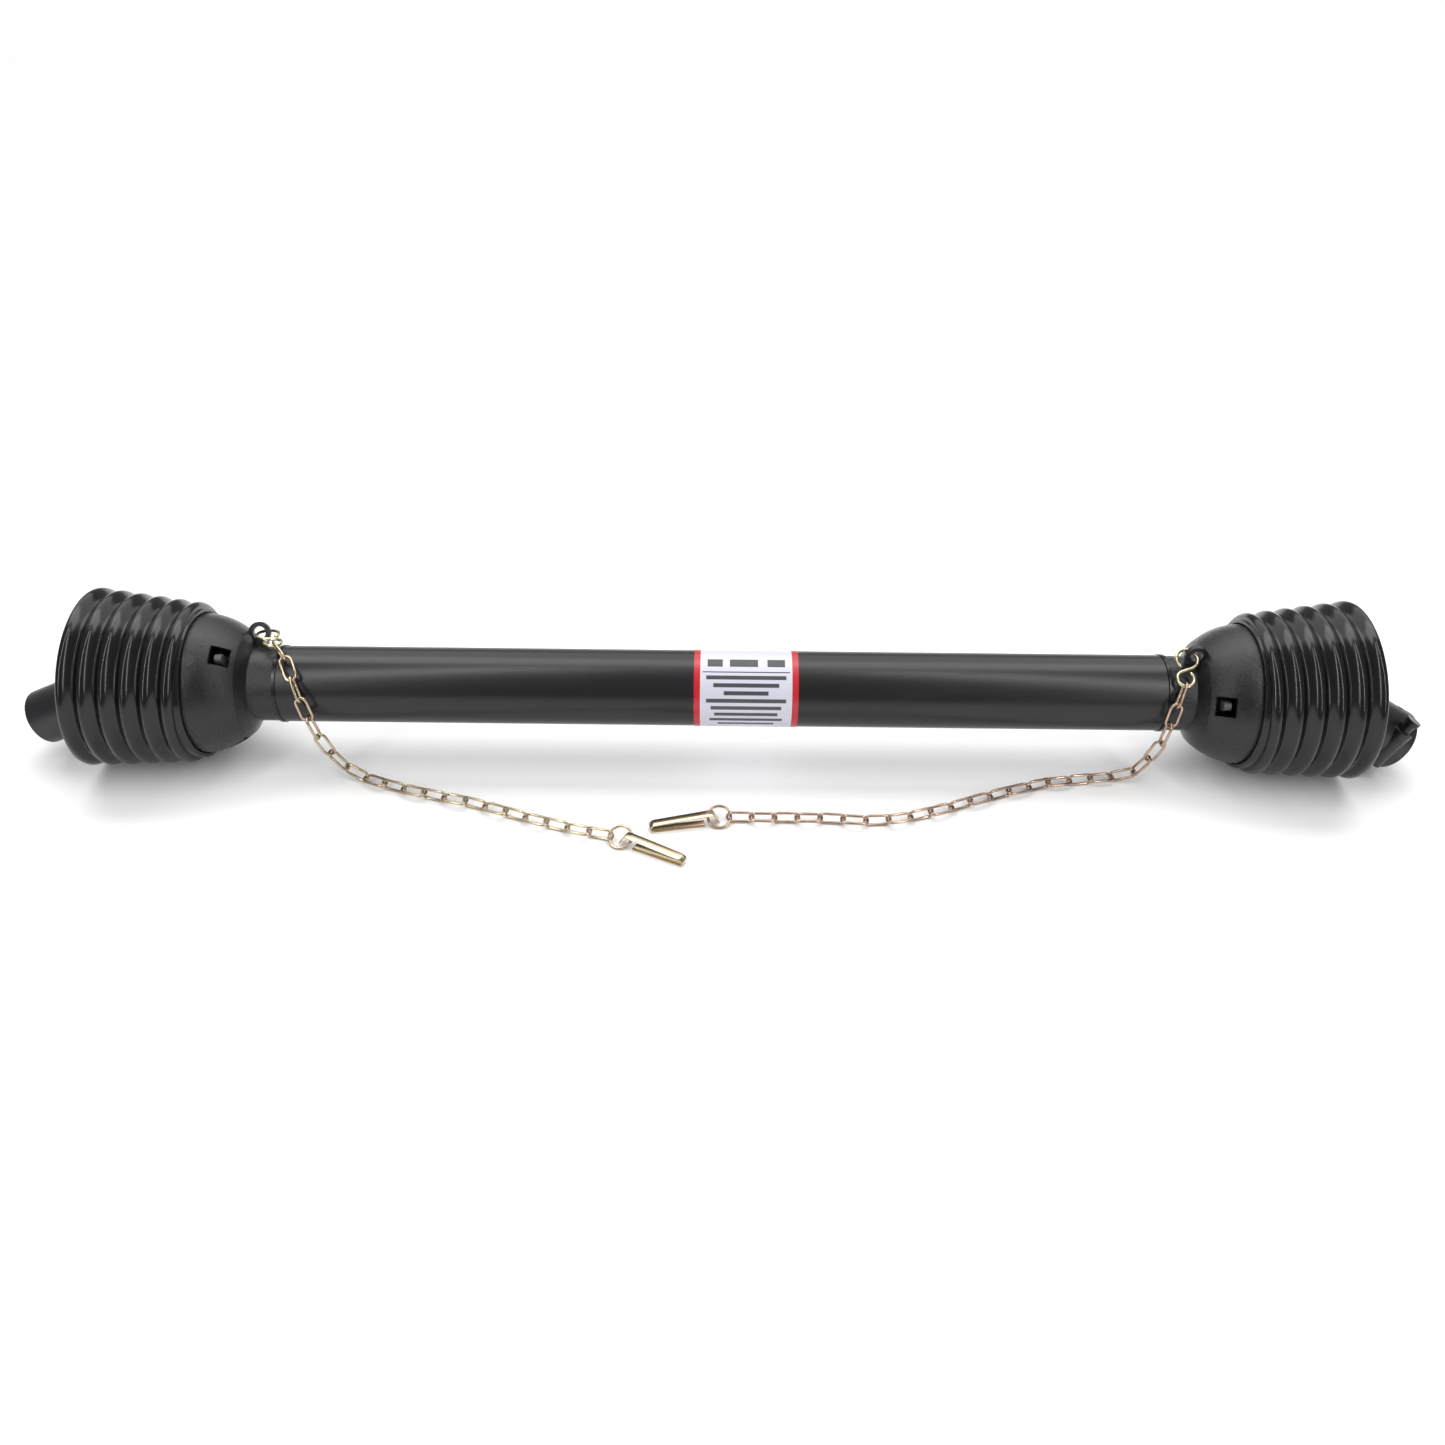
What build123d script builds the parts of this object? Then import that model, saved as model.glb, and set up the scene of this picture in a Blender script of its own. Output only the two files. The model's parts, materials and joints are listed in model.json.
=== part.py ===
from build123d import *
import math
import os

# PTO drive shaft with a telescoping guard and two safety chains, in millimetres and degrees.
# The closed shaft lies along X with its implement end at -X. Z is up from the floor at Z = 0.

# Shaft
cross_x = 514.0  # middle of the closed shaft to the centre of each cross
shaft_y = 39.5  # middle of the footprint, chains included, to the shaft's axis
implement_droop = 24.0
tractor_droop = 29.5

# Crosses and their bearing caps
trunnion_r = 8.2
trunnion_reach = 34.5
cross_core_r = 12.5
cross_core_reach = 16.0
cap_r = 13.5
cap_reach = 37.3
cap_length = 17.0
cap_floor = 2.5
seal_r = 12.0
nipple_r = 2.3
nipple_reach = 25.0
nipple_hex_r = 3.5
nipple_hex_length = 2.5
running_gap = 0.05
ring_thickness = 1.5
ring_width = 3.0
ring_mouth = 7.0
ring_groove_depth = 1.0

# Forked yokes, measured from the centre of the cross
ear_gap = 44.0
ear_span = 80.0
ear_r = 17.5
strap_width = 40.0
throat = 45.0
throat_fillet = 10.0
shoulder = 6.0
inner_hub_r = 29.0
inner_hub_length = 57.0
implement_hub_r = 24.5
implement_hub_length = 49.0
tractor_hub_r = 28.0
tractor_hub_length = 50.0
bore_r = 17.46
key_width = 8.0
key_depth = 3.3
spline_root_r = 14.9
spline_tooth = 8.6
spline_count = 6
collar_groove_at = 80.0
collar_groove_width = 6.0
collar_groove_depth = 2.5
collar_groove_arc = 150.0

# Push pin of the tractor yoke
pin_boss_r = 9.0
pin_boss_reach = 19.0
pin_at = 79.0
push_pin_r = 5.0
push_pin_head_r = 6.5
push_pin_travel = 8.0
push_pin_head = 4.0
push_pin_bite = 1.0  # how far the pin reaches into the bore
push_pin_stand = 0.5  # left under the head when the pin is pressed in
pin_face_gap = 0.8  # flat face round the head, let into the hub

# Profile tubes: rounded triangles, one inside the other
profile_corner = 14.33
profile_corner_r = 11.0
outer_profile_wall = 3.4
inner_profile_wall = 4.0
profile_gap = 0.35
socket_depth = 46.0
socket_gap = 1.0
outer_profile_free = 12.0
inner_profile_free = 25.0
yoke_pin_r = 5.0
yoke_pin_at = 66.0
yoke_pin_set_back = 1.0

# Guard tubes
outer_tube_r = 33.0
outer_tube_wall = 2.5
inner_tube_r = 30.0
inner_tube_wall = 2.2
tube_end_gap = 0.4
inner_tube_set_back = 8.0

# Guard cones, placed along the shaft by their distance from the cross
collar_start = 132.0  # face of the collar towards the shaft's middle
collar_r = 32.5
collar_length = 22.0
spigot_length = 20.0
bead_width = 3.0
bead_r = 33.8
collar_floor = 2.0
root_step = 1.0
bowl_root_r = 34.0
bowl_shoulder = 28.0  # where the root meets the round bowl, like all of these from the collar's face
bowl_shoulder_r = 44.5
bowl_length = 67.0
bowl_rim_r = 61.0
bowl_wall = 2.7
rim_length = 4.0
rim_flare = 0.5
lip_r = 28.3
floor_at = 27.0
floor_thickness = 4.0
seat_r = 36.0
seat_wall = 2.5
seat_length = 18.0
window_at = 38.5
window_length = 14.5
window_width = 17.0
eye_at = 20.0
eye_reach = 44.0
eye_r = 9.5
eye_hole_r = 5.5
eye_thickness = 4.0
eye_foot = 15.0
eye_sink = 1.0
implement_eye_clock = 30.0  # angle of the eye behind the vertical
tractor_eye_clock = -8.0

# Shield bearings, which run in a groove of each inner yoke's hub
groove_at = 92.0
groove_width = 8.0
groove_depth = 2.5
bearing_gap = 0.3
nib_width = 8.0
nib_length = 6.0
nib_reach = 51.0
nib_sink = 1.0

# Bellows, measured along their own tilted axis from the seam on the bowl
bellows_tilt = 3.5
band_length = 10.0
band_wall = 2.9
band_gap = 0.3
band_overlap = 3.5
seam_gap = 0.5
ridge_count = 6
ridge_pitch = 16.4
ridge_crest = 6.4
ridge_depth = 5.0
ridge_growth = 1.4
first_ridge_at = 7.0
first_ridge_rise = 7.2
bellows_start = 2.5
bellows_root_step = 1.2
bellows_step = 3.0
mouth_at = 93.0
mouth_wall = 5.5
mouth_flare = 6.5

# Bare label round the outer guard tube
label_start = -24.0
label_length = 89.0
label_thickness = 0.3
label_wrap = 240.0
label_clock = -55.0

# Safety chains
wire_d = 2.6
link_inner_length = 19.6
link_width = 12.2
link_corner = 3.2
link_end_width = 4.0
link_gap = 0.4
run_from_link = 7
floor_clearance = 0.05
drape_clearance = 2.4
hook_wire_d = 3.0
hook_eye_r = 9.0
hook_chain_r = 7.0
hook_length = 18.5
hook_span = 300.0
hook_steps = 8
hook_in_eye = 25.0
chain_ring_r = 9.7
chain_ring_gap = 0.9
ring_sides = 12
ring_tilt = 29.0
strip_width = 8.0
strip_thickness = 1.2
clip_length = 50.0
clip_tip = 3.0
clip_bend = 1.0
clip_spring = 0.6
clip_tab = 8.0
clip_tab_end = 2.5
clip_lower_start = 3.0
clip_gap = 1.7

# Worked out from the sizes above
bellows_root_r = bowl_rim_r + rim_flare + band_gap + bellows_root_step
first_ridge_r = bellows_root_r + first_ridge_rise
mouth_inner_r = bellows_root_r + mouth_flare
last_ridge_at = first_ridge_at + ridge_pitch * (ridge_count - 1)
last_ridge_r = first_ridge_r + ridge_growth * (ridge_count - 1)
tilt = math.radians(bellows_tilt)
shaft_z = last_ridge_r * math.cos(tilt) - (last_ridge_at - ridge_crest / 2) * math.sin(tilt)
collar_x = cross_x - collar_start
seam_x = collar_x + bowl_length + rim_length - bellows_start + seam_gap
bowl_square = bowl_length**2 + bowl_rim_r**2 - bowl_shoulder**2 - bowl_shoulder_r**2
bowl_centre = bowl_square / 2 / (bowl_length - bowl_shoulder)
bowl_r = math.hypot(bowl_rim_r, bowl_centre - bowl_length)
cap_bore_r = cap_r + running_gap
floor_link_z = link_width / 2 + floor_clearance
drape_r = outer_tube_r + link_width / 2 + drape_clearance
link_pitch = link_inner_length - link_gap

os.makedirs("parts", exist_ok=True)


def finish(piece, name):
    piece.part.label = name
    export_step(piece.part, f"parts/{name}.step")


def axis_plane(side):
    """Plane through the shaft's axis, with x outward along the shaft and y up."""
    return Plane(origin=(0, shaft_y, shaft_z), x_dir=(side, 0, 0), z_dir=(0, -side, 0))


def section_plane(x):
    """Plane across the shaft at x, with its local x along Y and its local y up."""
    return Plane(origin=(x, shaft_y, shaft_z), x_dir=(0, 1, 0), z_dir=(1, 0, 0))


def radial(clock):
    """Direction out of the shaft's axis, at an angle behind the vertical."""
    return Vector(0, math.sin(math.radians(clock)), math.cos(math.radians(clock)))


def plane_axis(plane):
    return Axis(plane.origin, plane.x_dir)


def side_view(frame):
    """Plane of a frame's x and z."""
    return Plane(origin=frame.origin, x_dir=frame.x_dir, z_dir=-frame.y_dir)


def across(frame, distance):
    """Plane across a frame's x, with its local x and y along the frame's y and z."""
    return Plane(origin=frame.origin + frame.x_dir * distance, x_dir=frame.y_dir, z_dir=frame.x_dir)


def inner_frame(side):
    """Frame at the cross for the inner yoke: x along its hub, z along its ears."""
    return Plane(origin=(side * cross_x, shaft_y, shaft_z), x_dir=(-side, 0, 0), z_dir=(0, 1, 0))


def end_frame(side, droop):
    """Frame at the cross for the end yoke and the cross: x along the drooping hub."""
    angle = math.radians(droop)
    out = (side * math.cos(angle), 0, -math.sin(angle))
    ears = (side * math.sin(angle), 0, math.cos(angle))
    return Plane(origin=(side * cross_x, shaft_y, shaft_z), x_dir=out, z_dir=ears)


def triangle(corner_r):
    """Rounded triangle of a profile tube, with one corner up."""
    with BuildSketch() as outline:
        RegularPolygon(profile_corner, 3, rotation=90)
        offset(amount=corner_r)
    return outline.sketch


def make_fork(frame, hub_r, hub_length):
    """Yoke blank: two bored ears, their straps and a round hub."""
    blank_end = throat + shoulder
    pocket = throat + ear_r + 2 * throat_fillet
    with BuildPart() as fork:
        with BuildSketch(side_view(frame)):
            with BuildLine():
                Polyline(
                    (-ear_r, -ear_span / 2),
                    (ear_r, -ear_span / 2),
                    (blank_end, -hub_r),
                    (blank_end, hub_r),
                    (ear_r, ear_span / 2),
                    (-ear_r, ear_span / 2),
                    close=True,
                )
            make_face()
            with Locations((throat - pocket / 2, 0)):
                RectangleRounded(pocket, ear_gap, throat_fillet, mode=Mode.SUBTRACT)
        extrude(amount=strap_width / 2, both=True)
        with BuildSketch(frame):
            Circle(ear_r)
            with BuildLine():
                Polyline(
                    (0, -ear_r),
                    (throat, -strap_width / 2),
                    (blank_end, -strap_width / 2),
                    (blank_end, strap_width / 2),
                    (throat, strap_width / 2),
                    (0, ear_r),
                    close=True,
                )
            make_face()
        extrude(amount=ear_span / 2, both=True, mode=Mode.INTERSECT)
        with BuildSketch(across(frame, throat)):
            Circle(hub_r)
        extrude(amount=hub_length)
        with BuildSketch(frame):
            Circle(cap_bore_r)
        extrude(amount=ear_span / 2, both=True, mode=Mode.SUBTRACT)
        for plane in both_ways(frame):
            with BuildSketch(plane.offset(cap_reach)):
                Circle(cap_bore_r + ring_groove_depth)
            extrude(amount=ring_thickness + 2 * running_gap, mode=Mode.SUBTRACT)
    return fork.part


def make_inner_yoke(side):
    frame = inner_frame(side)
    hub_end = throat + inner_hub_length
    with BuildPart() as yoke:
        add(make_fork(frame, inner_hub_r, inner_hub_length))
        with BuildSketch(section_plane(side * (cross_x - hub_end))):
            add(triangle(tube_corner_r(side) + running_gap))
        extrude(amount=side * socket_depth, mode=Mode.SUBTRACT)
        with BuildSketch(side_view(frame)):
            with Locations((groove_at, inner_hub_r)):
                Rectangle(groove_width, 2 * groove_depth)
        revolve(axis=plane_axis(frame), mode=Mode.SUBTRACT)
        with BuildSketch(pin_plane(side)):
            Circle(yoke_pin_r + running_gap)
        extrude(amount=inner_hub_r, both=True, mode=Mode.SUBTRACT)
    return yoke


def tube_corner_r(side):
    """Outer corner radius of the profile tube that sits in this side's inner yoke."""
    if side < 0:
        return profile_corner_r
    return profile_corner_r - outer_profile_wall - profile_gap


def pin_plane(side):
    """Plane through the shaft's axis, across the pin that holds the yoke on its tube."""
    centre = Vector(side * (cross_x - yoke_pin_at), shaft_y, shaft_z)
    return Plane(origin=centre, x_dir=(1, 0, 0), z_dir=(0, 1, 0))


def make_profile_tube(side, free_end, wall):
    seat_end = side * (cross_x - throat - inner_hub_length + socket_depth - socket_gap)
    corner_r = tube_corner_r(side)
    with BuildPart() as tube:
        with BuildSketch(section_plane(seat_end)):
            add(triangle(corner_r))
            add(triangle(corner_r - wall), mode=Mode.SUBTRACT)
        extrude(amount=free_end - seat_end)
        with BuildSketch(pin_plane(side)):
            Circle(yoke_pin_r + running_gap)
        extrude(amount=inner_hub_r, both=True, mode=Mode.SUBTRACT)
    return tube


def make_yoke_pin(side):
    with BuildPart() as pin:
        with BuildSketch(pin_plane(side)):
            Circle(yoke_pin_r)
        extrude(amount=inner_hub_r - yoke_pin_set_back, both=True)
    return pin


def make_implement_end_yoke(frame):
    with BuildPart() as yoke:
        add(make_fork(frame, implement_hub_r, implement_hub_length))
        with BuildSketch(across(frame, throat)):
            Circle(bore_r)
            with Locations((0, bore_r)):
                Rectangle(key_width, 2 * key_depth)
        extrude(amount=implement_hub_length, mode=Mode.SUBTRACT)
    return yoke


def make_tractor_end_yoke(frame):
    with BuildPart() as yoke:
        add(make_fork(frame, tractor_hub_r, tractor_hub_length))
        with BuildSketch(push_pin_plane(frame).offset(-pin_boss_reach)):
            Circle(pin_boss_r)
        extrude(amount=2 * pin_boss_reach)
        with BuildSketch(side_view(frame)):
            with Locations((collar_groove_at, tractor_hub_r)):
                Rectangle(collar_groove_width, 2 * collar_groove_depth)
        revolve(axis=plane_axis(frame), revolution_arc=-collar_groove_arc, mode=Mode.SUBTRACT)
        with BuildSketch(across(frame, throat)):
            Circle(spline_root_r)
            with PolarLocations(bore_r / 2, spline_count):
                Rectangle(bore_r, spline_tooth)
        extrude(amount=tractor_hub_length, mode=Mode.SUBTRACT)
        with BuildSketch(push_pin_plane(frame).offset(pin_boss_reach)):
            Circle(push_pin_head_r + pin_face_gap)
        extrude(amount=tractor_hub_r, mode=Mode.SUBTRACT)
        with BuildSketch(push_pin_plane(frame)):
            Circle(push_pin_r + running_gap)
        extrude(amount=2 * pin_boss_reach, both=True, mode=Mode.SUBTRACT)
    return yoke


def push_pin_plane(frame):
    """Plane across the push pin, half way along it, beside the bore."""
    centre = frame.origin + frame.x_dir * pin_at - frame.y_dir * (bore_r + push_pin_r - push_pin_bite)
    return Plane(origin=centre, x_dir=frame.x_dir, z_dir=frame.z_dir)


def make_push_pin(frame):
    head_at = pin_boss_reach + push_pin_travel + push_pin_stand
    with BuildPart() as pin:
        with BuildSketch(push_pin_plane(frame).offset(-pin_boss_reach)):
            Circle(push_pin_r)
        extrude(amount=pin_boss_reach + head_at + push_pin_head / 2)
        with BuildSketch(push_pin_plane(frame).offset(head_at)):
            Circle(push_pin_head_r)
        extrude(amount=push_pin_head)
    return pin


def make_cross(frame):
    with BuildPart() as cross:
        for plane in (frame, side_view(frame)):
            with BuildSketch(plane):
                Circle(cross_core_r)
            extrude(amount=cross_core_reach, both=True)
            with BuildSketch(plane):
                Circle(trunnion_r)
            extrude(amount=trunnion_reach, both=True)
        with BuildSketch(nipple_plane(frame, 0)):
            Circle(nipple_r + running_gap)
        extrude(amount=nipple_reach, mode=Mode.SUBTRACT)
    return cross


def nipple_plane(frame, reach):
    """Plane across the grease nipple, midway between two arms of the cross."""
    out = (frame.y_dir + frame.z_dir).normalized()
    return Plane(origin=frame.origin + out * reach, x_dir=frame.x_dir, z_dir=out)


def make_grease_nipple(frame):
    with BuildPart() as nipple:
        with BuildSketch(nipple_plane(frame, cross_core_r)):
            Circle(nipple_r)
        extrude(amount=nipple_reach - cross_core_r)
        with BuildSketch(nipple_plane(frame, cross_core_r * math.sqrt(2) + nipple_hex_r)):
            RegularPolygon(nipple_hex_r, 6)
        extrude(amount=nipple_hex_length)
    return nipple


def both_ways(plane):
    """The plane and its mirror image across its own surface."""
    return (plane, Plane(origin=plane.origin, x_dir=plane.x_dir, z_dir=-plane.z_dir))


def make_caps(ears):
    with BuildPart() as caps:
        for plane in both_ways(ears):
            with BuildSketch(plane.offset(cap_reach - cap_length)):
                Circle(cap_r)
            extrude(amount=cap_length)
            with BuildSketch(plane.offset(cap_reach - cap_length)):
                Circle(trunnion_r + running_gap)
            extrude(amount=cap_length - cap_floor, mode=Mode.SUBTRACT)
    return caps


def make_snap_rings(ears):
    ring_r = cap_r + ring_groove_depth
    with BuildPart() as rings:
        for plane in both_ways(ears):
            with BuildSketch(plane.offset(cap_reach + running_gap)):
                Circle(ring_r)
                Circle(ring_r - ring_width, mode=Mode.SUBTRACT)
                with Locations((ring_r, 0)):
                    Rectangle(4 * ring_width, ring_mouth, mode=Mode.SUBTRACT)
            extrude(amount=ring_thickness)
    return rings


def make_seals(frame):
    with BuildPart() as seals:
        for plane in both_ways(frame) + both_ways(side_view(frame)):
            with BuildSketch(plane.offset(cross_core_reach)):
                Circle(seal_r)
                Circle(trunnion_r + running_gap, mode=Mode.SUBTRACT)
            extrude(amount=cap_reach - cap_length - cross_core_reach - running_gap)
    return seals


def make_guard_cone(side, eye_clock):
    plane = axis_plane(side)
    rim_x = collar_x + bowl_length
    floor_x = collar_x + floor_at
    seat_end = floor_x + seat_length
    pocket_at = floor_at + floor_thickness
    pocket_r = seat_r + seat_wall
    with BuildPart() as cone:
        with BuildSketch(plane):
            with BuildLine():
                root = (collar_x + collar_length, bowl_root_r)
                foot = Polyline(*collar_points(side), root, bowl_point(bowl_shoulder))
                belly = bowl_point((bowl_shoulder + bowl_length) / 2)
                bowl = ThreePointArc(foot @ 1, belly, bowl_point(bowl_length))
                Polyline(
                    bowl @ 1,
                    (rim_x + rim_length, bowl_rim_r + rim_flare),
                    (rim_x + rim_length, bowl_rim_r - bowl_wall),
                    bowl_point(bowl_length, bowl_wall),
                    bowl_point((pocket_at + bowl_length) / 2, bowl_wall),
                    bowl_point(pocket_at, bowl_wall),
                    (collar_x + pocket_at, pocket_r),
                    (seat_end, pocket_r),
                    (seat_end, seat_r),
                    (floor_x, seat_r),
                    (floor_x, lip_r),
                    foot @ 0,
                )
            make_face()
        revolve(axis=plane_axis(plane))
        for clock in window_clocks(eye_clock):
            with BuildSketch(window_plane(side, clock).offset(lip_r)):
                Rectangle(window_length, window_width)
            extrude(amount=bowl_rim_r - lip_r, mode=Mode.SUBTRACT)
        with BuildSketch(eye_plane(side, eye_clock)):
            with Locations((collar_x + eye_at, eye_reach)):
                Circle(eye_r)
            with Locations((collar_x + eye_at, (eye_reach + collar_r - eye_sink) / 2)):
                Rectangle(eye_foot, eye_reach - collar_r + eye_sink)
            with Locations((collar_x + eye_at, eye_reach)):
                Circle(eye_hole_r, mode=Mode.SUBTRACT)
        extrude(amount=eye_thickness / 2, both=True)
    return cone


def bowl_point(at, inset=0.0):
    """Point on the round bowl, or inside it by its wall, at a distance from the collar's face."""
    return (collar_x + at, math.sqrt((bowl_r - inset) ** 2 - (bowl_centre - at) ** 2))


def collar_points(side):
    """Inner end of the cone: a spigot in the outer tube, or a seat round the inner tube."""
    if side < 0:
        return [
            (collar_x - spigot_length, lip_r),
            (collar_x - spigot_length, outer_tube_r - outer_tube_wall - running_gap),
            (collar_x, outer_tube_r - outer_tube_wall - running_gap),
            (collar_x, collar_r),
            (collar_x + collar_length - root_step, collar_r),
        ]
    return [
        (collar_x + collar_length - collar_floor, lip_r),
        (collar_x + collar_length - collar_floor, inner_tube_r + running_gap),
        (collar_x, inner_tube_r + running_gap),
        (collar_x, collar_r),
        (collar_x + collar_length - root_step, collar_r),
    ]


def window_clocks(eye_clock):
    """Three windows round the bowl, midway between the eye and its two thirds."""
    return [eye_clock + 60 + 120 * turn for turn in range(3)]


def window_plane(side, clock):
    centre = Vector(side * (collar_x + window_at), shaft_y, shaft_z)
    return Plane(origin=centre, x_dir=(side, 0, 0), z_dir=radial(clock))


def eye_plane(side, clock):
    """Plane through the shaft's axis and the eye, with y out towards the eye."""
    out = Vector(side, 0, 0)
    return Plane(origin=(0, shaft_y, shaft_z), x_dir=out, z_dir=out.cross(radial(clock)))


def make_shield_bearing(side, eye_clock):
    plane = axis_plane(side)
    middle = cross_x - groove_at
    width = groove_width - bearing_gap
    inner_r = inner_hub_r - groove_depth + bearing_gap
    outer_r = seat_r - running_gap
    root_r = outer_r - nib_sink
    tip_r = nib_reach - nib_width / 2
    with BuildPart() as bearing:
        with BuildSketch(plane):
            with Locations((middle, (inner_r + outer_r) / 2)):
                Rectangle(width, outer_r - inner_r)
        revolve(axis=plane_axis(plane))
        for clock in window_clocks(eye_clock):
            centre = Vector(side * middle, shaft_y, shaft_z)
            with BuildSketch(Plane(origin=centre, x_dir=radial(clock), z_dir=(1, 0, 0))):
                with Locations(((root_r + tip_r) / 2, 0)):
                    Rectangle(tip_r - root_r, nib_width)
                with Locations((tip_r, 0)):
                    Circle(nib_width / 2)
            extrude(amount=nib_length / 2, both=True)
    return bearing


def make_retaining_ring(side):
    plane = axis_plane(side)
    inner_r = outer_tube_r - outer_tube_wall
    with BuildPart() as ring:
        with BuildSketch(plane):
            with Locations((collar_x - bead_width / 2, (inner_r + bead_r) / 2)):
                Rectangle(bead_width, bead_r - inner_r)
        revolve(axis=plane_axis(plane))
    return ring


def make_bellows(side):
    straight = axis_plane(side)
    along = (side * math.cos(tilt), 0, math.sin(tilt))
    tilted = Plane(origin=(side * seam_x, shaft_y, shaft_z), x_dir=along, z_dir=(0, -side, 0))
    band_r = bowl_rim_r + rim_flare + band_gap
    band_end = seam_x + bellows_start + band_overlap
    wall = [(bellows_start, bellows_root_r), (bellows_start, first_ridge_r - bellows_step)]
    for ridge in range(ridge_count):
        at = first_ridge_at + ridge_pitch * ridge
        crest = first_ridge_r + ridge_growth * ridge
        valley = crest + ridge_growth / 2 - ridge_depth
        wall += [(at - ridge_crest / 2, crest), (at + ridge_crest / 2, crest)]
        wall += [(at + ridge_pitch / 2, valley)]
    wall += [(mouth_at, mouth_inner_r + mouth_wall), (mouth_at, mouth_inner_r)]
    with BuildPart() as bellows:
        with BuildSketch(straight):
            with Locations((band_end - band_length / 2, band_r + band_wall / 2)):
                Rectangle(band_length, band_wall)
        revolve(axis=plane_axis(straight))
        with BuildSketch(tilted):
            with BuildLine():
                Polyline(*wall, close=True)
            make_face()
        revolve(axis=plane_axis(tilted))
    return bellows


def make_guard_tube(start, end, outer_r, wall):
    with BuildPart() as tube:
        with BuildSketch(section_plane(start)):
            Circle(outer_r)
            Circle(outer_r - wall, mode=Mode.SUBTRACT)
        extrude(amount=end - start)
    return tube


def make_label():
    start = radial(label_clock + label_wrap / 2)
    along = Vector(1, 0, 0)
    plane = Plane(origin=(0, shaft_y, shaft_z), x_dir=along, z_dir=along.cross(start))
    middle = label_start + label_length / 2
    with BuildPart() as label:
        with BuildSketch(plane):
            with Locations((middle, outer_tube_r + running_gap + label_thickness / 2)):
                Rectangle(label_length, label_thickness)
        revolve(axis=plane_axis(plane), revolution_arc=label_wrap)
    return label


def eye_centre(side, clock):
    return Vector(side * (collar_x + eye_at), shaft_y, shaft_z) + radial(clock) * eye_reach


def hook_plane(side, eye_clock, drop, swing):
    """Plane of the S-hook: origin in its eye loop, x towards its chain loop."""
    inward = Vector(-side, 0, 0)
    down = Vector(0, -math.cos(math.radians(drop)), -math.sin(math.radians(drop)))
    into = math.radians(hook_in_eye)
    turn = math.radians(swing)
    centre = eye_centre(side, eye_clock) + (inward * math.cos(into) + down * math.sin(into)) * hook_eye_r
    along = inward * math.cos(turn) + down * math.sin(turn)
    return Plane(origin=centre, x_dir=along, z_dir=inward.cross(down))


def hook_points():
    """Centre line of the S-hook: round its eye loop, across, and round its chain loop."""
    start = math.acos((hook_eye_r + hook_chain_r) / hook_length)
    span = math.radians(hook_span)
    points = []
    for step in range(hook_steps + 1):
        angle = start + span * (1 - step / hook_steps)
        points.append((hook_eye_r * math.cos(angle), hook_eye_r * math.sin(angle)))
    for step in range(hook_steps + 1):
        angle = start + math.pi + span * step / hook_steps
        points.append((hook_length + hook_chain_r * math.cos(angle), hook_chain_r * math.sin(angle)))
    return points


def make_s_hook(plane):
    with BuildPart() as hook:
        with BuildLine(plane) as route:
            Polyline(*hook_points())
        with BuildSketch(Plane(origin=route.line @ 0, z_dir=route.line % 0)):
            RegularPolygon(hook_wire_d / 2, 6)
        sweep(path=route.line, transition=Transition.RIGHT)
    return hook


def chain_start(plane):
    """Where the first link hangs in the S-hook."""
    return plane.origin + plane.x_dir * (hook_length + hook_chain_r - (hook_wire_d + link_gap) / 2)


def make_wire_loop(points):
    """One closed loop of wire on a centre line of straight stretches, its wire six-sided."""
    with BuildPart() as loop:
        with BuildLine() as route:
            Polyline(*points, close=True)
        with BuildSketch(Plane(origin=route.line @ 0, z_dir=route.line % 0)):
            RegularPolygon(wire_d / 2, 6)
        sweep(path=route.line, transition=Transition.RIGHT)
    return loop.part


def link_points():
    reach = (link_inner_length + wire_d) / 2
    half = (link_width - wire_d) / 2
    corner = [(reach - link_corner, half), (reach, link_end_width / 2)]
    right = corner + [(x, -y) for x, y in reversed(corner)]
    return right + [(-x, -y) for x, y in right]


def ring_points():
    points = []
    for step in range(ring_sides):
        angle = math.pi - 2 * math.pi * step / ring_sides
        points.append((chain_ring_r * math.cos(angle), chain_ring_r * math.sin(angle)))
    return points


def spaced(route, count):
    """Contact points of the chain: equal straight steps of one pitch along a route."""
    points = [route[0]]
    leg = 1
    start = route[0]
    while len(points) <= count:
        end = route[leg]
        last = points[-1]
        if (end - last).length < link_pitch and leg + 1 < len(route):
            leg += 1
            start = end
            continue
        direction = (end - start).normalized()
        toward = (start - last).dot(direction)
        reach = (start - last).length ** 2 - link_pitch ** 2
        start = start + direction * (math.sqrt(toward ** 2 - reach) - toward)
        points.append(start)
    return points


def link_planes(knots, first):
    """One plane for each link, standing on edge and lying flat by turns."""
    planes = []
    for index, (start, end) in enumerate(zip(knots, knots[1:])):
        along = (end - start).normalized()
        middle = (start + end) / 2
        up = outward(middle)
        if (first + index) % 2 == 0:
            up = along.cross(up)
        planes.append(Plane(origin=middle, x_dir=along, z_dir=up - along * up.dot(along)))
    return planes


def outward(point):
    """Away from the tube on the drape, and sideways where the chain hangs or lies on the floor."""
    if point.Z < shaft_z:
        return Vector(0, -1, 0)
    return Vector(0, point.Y - shaft_y, point.Z - shaft_z).normalized()


def make_links(knots, first):
    with BuildPart() as links:
        with Locations(*link_planes(knots, first)):
            add(link_shape)
    return links


def ring_plane(knots):
    """Plane of the ring at the chain's end, its far edge raised."""
    along = (knots[-1] - knots[-2]).normalized()
    along = Vector(along.X, along.Y, 0).normalized()
    away = Vector(0, 0, 1).cross(along)
    if away.Y < 0:
        away = -away
    rise = math.radians(ring_tilt)
    across_ring = away * math.cos(rise) + Vector(0, 0, math.sin(rise))
    centre = knots[-1] + along * (chain_ring_r - (wire_d + chain_ring_gap) / 2)
    return Plane(origin=centre, x_dir=along, z_dir=along.cross(across_ring)), across_ring


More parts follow.
